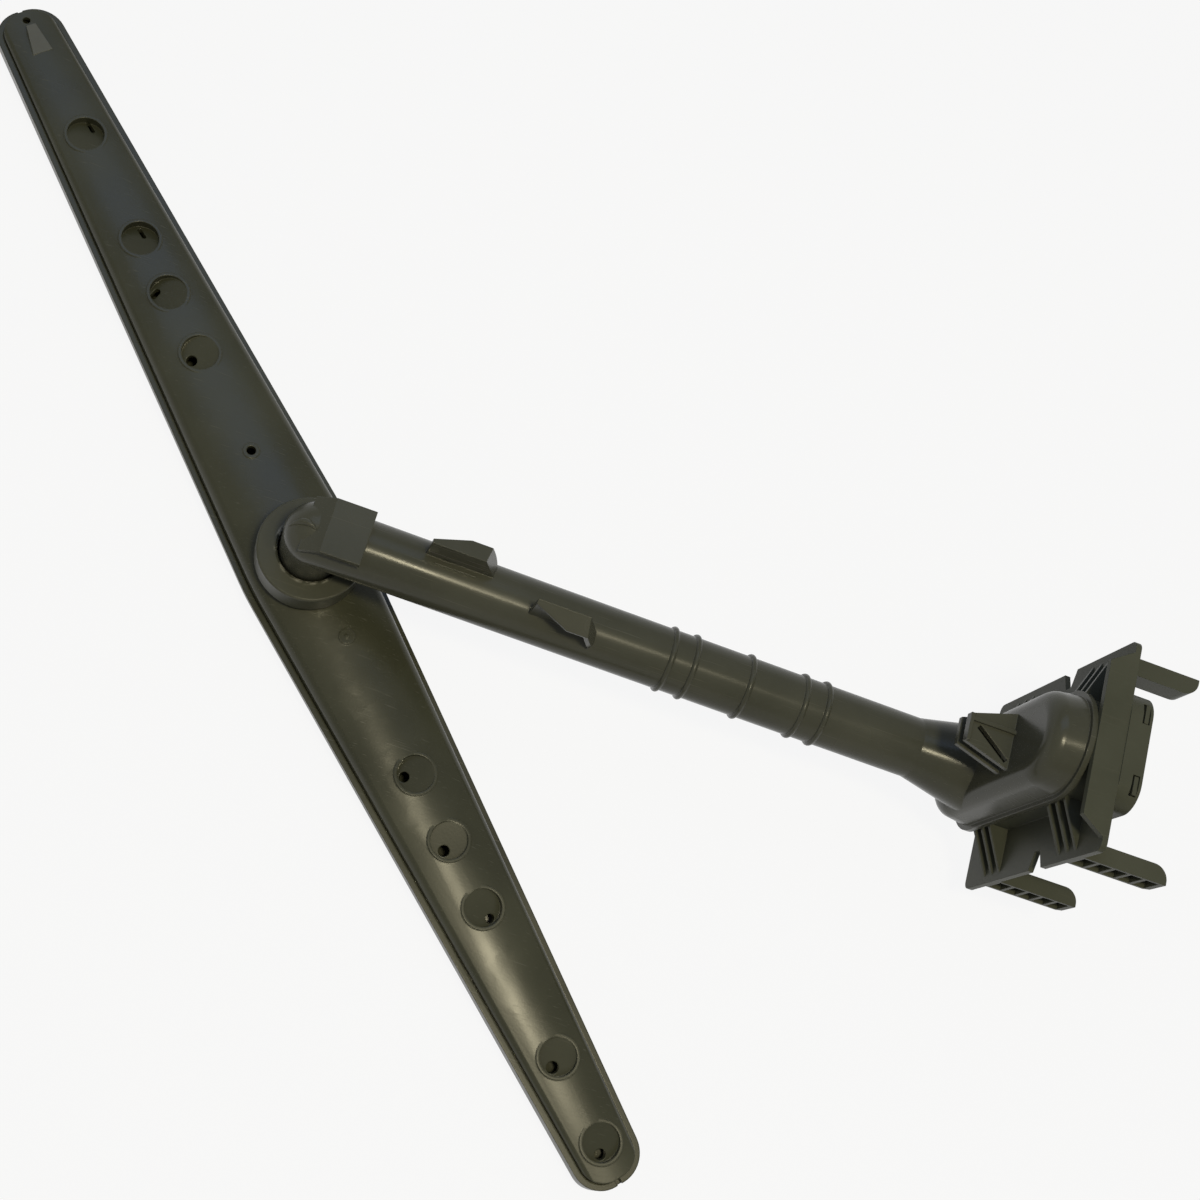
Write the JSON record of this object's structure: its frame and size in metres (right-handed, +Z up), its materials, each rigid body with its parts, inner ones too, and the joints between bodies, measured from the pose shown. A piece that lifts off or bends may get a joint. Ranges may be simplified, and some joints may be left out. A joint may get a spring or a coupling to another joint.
{
  "type": "dishwasher wash arm manifold",
  "caption": "Feed tube with a docking plate at its rear end, rack hooks on top and a long tapered wash arm that spins about a spout under its front end.",
  "frame": {"origin": "centre of the inlet mouth, on the axis of the rubber seal", "axes": "+X out of the inlet to the rear of the machine, +Y across the rack, +Z up along the spin axis"},
  "size_m": [0.4735, 0.3524, 0.121],
  "materials": {
    "tube_plastic": "moulded polypropylene, satin",
    "plate_plastic": "moulded polypropylene, satin",
    "ring_plastic": "moulded polypropylene, satin",
    "arm_plastic": "moulded polypropylene, satin",
    "seal_rubber": "moulded rubber, matt"
  },
  "bodies": {
    "manifold": {"feed_tube": "tube_plastic", "docking_plate": "plate_plastic", "docking_seal": "seal_rubber", "seal_retainer": "plate_plastic", "retaining_ring": "ring_plastic"},
    "wash_arm": {"hub_ring": "ring_plastic", "arm_upper_shell": "arm_plastic", "arm_lower_shell": "arm_plastic"}
  },
  "joints": [
    {"name": "arm_spin", "type": "hinge", "parent": "manifold", "child": "wash_arm", "pos_m": [-0.277, 0, -0.0753], "axis": [0, 0, 1], "continuous": true}
  ]
}
